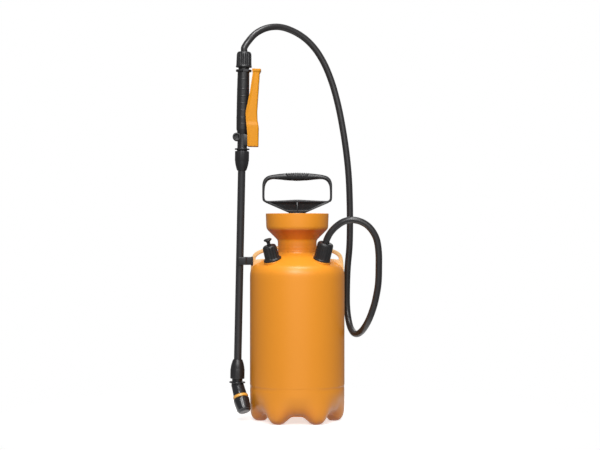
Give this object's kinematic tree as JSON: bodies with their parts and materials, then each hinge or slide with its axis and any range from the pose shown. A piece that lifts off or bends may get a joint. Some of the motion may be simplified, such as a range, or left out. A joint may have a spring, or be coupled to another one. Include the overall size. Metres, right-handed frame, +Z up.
{
  "type": "compression sprayer",
  "caption": "Hand-carried compression sprayer: funnel-necked tank with a pump, hose, lance with a squeeze trigger, and an angled nozzle.",
  "frame": {"origin": "on the floor, at the middle of the sprayer's box without the hose; the tank's axis is the vertical line at x = 0.020, y = 0", "axes": "+Z up along the tank's axis, -Y towards the front where the two shoulder ports are, lance at -X"},
  "size_m": [0.288, 0.1794, 0.7617],
  "materials": {
    "tank_plastic": "satin blow-moulded polyethylene",
    "trigger_plastic": "semi-gloss moulded plastic",
    "black_plastic": "satin moulded plastic",
    "lance_plastic": "satin tube",
    "natural_plastic": "natural, undyed",
    "rubber": "matt",
    "hose_rubber": "satin reinforced hose",
    "steel": "bright"
  },
  "bodies": {
    "tank": {"tank": "tank_plastic", "outlet_gasket": "rubber", "tank_hose_tail": "natural_plastic", "dip_tube": "natural_plastic", "dip_strainer": "natural_plastic", "relief_body": "black_plastic", "relief_gasket": "rubber", "relief_spring": "steel", "lance_clip": "black_plastic", "hose": "hose_rubber"},
    "outlet_nut": {"outlet_nut": "black_plastic"},
    "relief_plunger": {"relief_knob": "black_plastic", "relief_seal": "rubber"},
    "pump_seal": {"pump_seal_ring": "rubber"},
    "pump": {"pump_barrel": "black_plastic", "pump_cap": "black_plastic", "rod_bush": "natural_plastic", "foot_valve": "rubber"},
    "piston": {"piston": "natural_plastic", "piston_cup": "rubber"},
    "plunger": {"pump_rod": "black_plastic", "pump_handle": "black_plastic", "handle_pin": "steel"},
    "lance": {"grip_body": "black_plastic", "lance_hose_tail": "black_plastic", "grip_filter": "natural_plastic", "stem_gland": "steel", "stem_seal": "rubber", "valve_spring": "steel", "trigger_pin": "steel", "upper_seal": "rubber", "lance_tube": "lance_plastic", "lower_seal": "rubber"},
    "valve_stem": {"valve_stem": "steel"},
    "trigger": {"trigger_lever": "trigger_plastic"},
    "hose_nut": {"hose_nut": "black_plastic"},
    "upper_lance_nut": {"upper_lance_nut": "black_plastic"},
    "lower_lance_nut": {"lower_lance_nut": "black_plastic"},
    "nozzle": {"nozzle_elbow": "black_plastic", "nozzle_ring": "trigger_plastic", "swirl_core": "natural_plastic", "nozzle_o_ring": "rubber"},
    "nozzle_cap": {"nozzle_cap": "black_plastic"}
  },
  "joints": [
    {"name": "pump_lift_out", "type": "slide", "parent": "tank", "child": "pump_seal", "axis": [0, 0, 1], "range_m": [0, 0.32]},
    {"name": "pump_unscrew", "type": "hinge", "parent": "pump_seal", "child": "pump", "pos_m": [0.02, 0, 0.35], "axis": [0, 0, 1], "range_deg": [0, 720]},
    {"name": "pump_stroke", "type": "slide", "parent": "pump", "child": "piston", "axis": [0, 0, 1], "range_m": [0, 0.2]},
    {"name": "handle_turn", "type": "hinge", "parent": "piston", "child": "plunger", "pos_m": [0.02, 0, 0.38], "axis": [0, 0, 1], "range_deg": [0, 90]},
    {"name": "relief_pull", "type": "slide", "parent": "tank", "child": "relief_plunger", "axis": [-0.2335, -0.2386, 0.9426], "range_m": [0, 0.0035], "stiffness_N_per_m": 1500, "springref_m": -0.003, "deforming": ["relief_spring"]},
    {"name": "outlet_nut_turn", "type": "hinge", "parent": "tank", "child": "outlet_nut", "pos_m": [0.0655, -0.0465, 0.306], "axis": [0.2335, -0.2386, 0.9426], "range_deg": [0, 720]},
    {"name": "lance_unclip", "type": "slide", "parent": "tank", "child": "lance", "axis": [-1, 0, 0], "range_m": [0, 0.06]},
    {"name": "trigger_pull", "type": "hinge", "parent": "lance", "child": "trigger", "pos_m": [-0.06984, 0, 0.53257], "axis": [0, -1, 0], "range_deg": [0, 5.2], "stiffness_Nm_per_rad": 2, "springref_deg": -8.59},
    {"name": "valve_stem_slide", "type": "slide", "parent": "lance", "child": "valve_stem", "axis": [-0.9998, 0, 0.0209], "range_m": [0, 0.0018], "deforming": ["valve_spring"]},
    {"name": "hose_nut_turn", "type": "hinge", "parent": "lance", "child": "hose_nut", "pos_m": [-0.08155, 0, 0.68985], "axis": [0.0209, 0, 0.9998], "range_deg": [0, 720]},
    {"name": "upper_lance_nut_turn", "type": "hinge", "parent": "lance", "child": "upper_lance_nut", "pos_m": [-0.08553, 0, 0.49989], "axis": [0.0209, 0, 0.9998], "range_deg": [0, 720]},
    {"name": "lower_lance_nut_turn", "type": "hinge", "parent": "lance", "child": "lower_lance_nut", "pos_m": [-0.09412, 0, 0.08998], "axis": [0.0209, 0, 0.9998], "range_deg": [0, 720]},
    {"name": "nozzle_swivel", "type": "hinge", "parent": "lance", "child": "nozzle", "pos_m": [-0.09453, 0, 0.06999], "axis": [0.0209, 0, 0.9998], "range_deg": [-240, 0]},
    {"name": "nozzle_cap_turn", "type": "hinge", "parent": "nozzle", "child": "nozzle_cap", "pos_m": [-0.09453, 0, 0.06999], "axis": [-0.2541, 0.4193, 0.8715], "range_deg": [0, 540]}
  ],
  "couplings": [
    {"joint": "valve_stem_slide", "follows": "trigger_pull", "m_per_rad": 0.019}
  ]
}
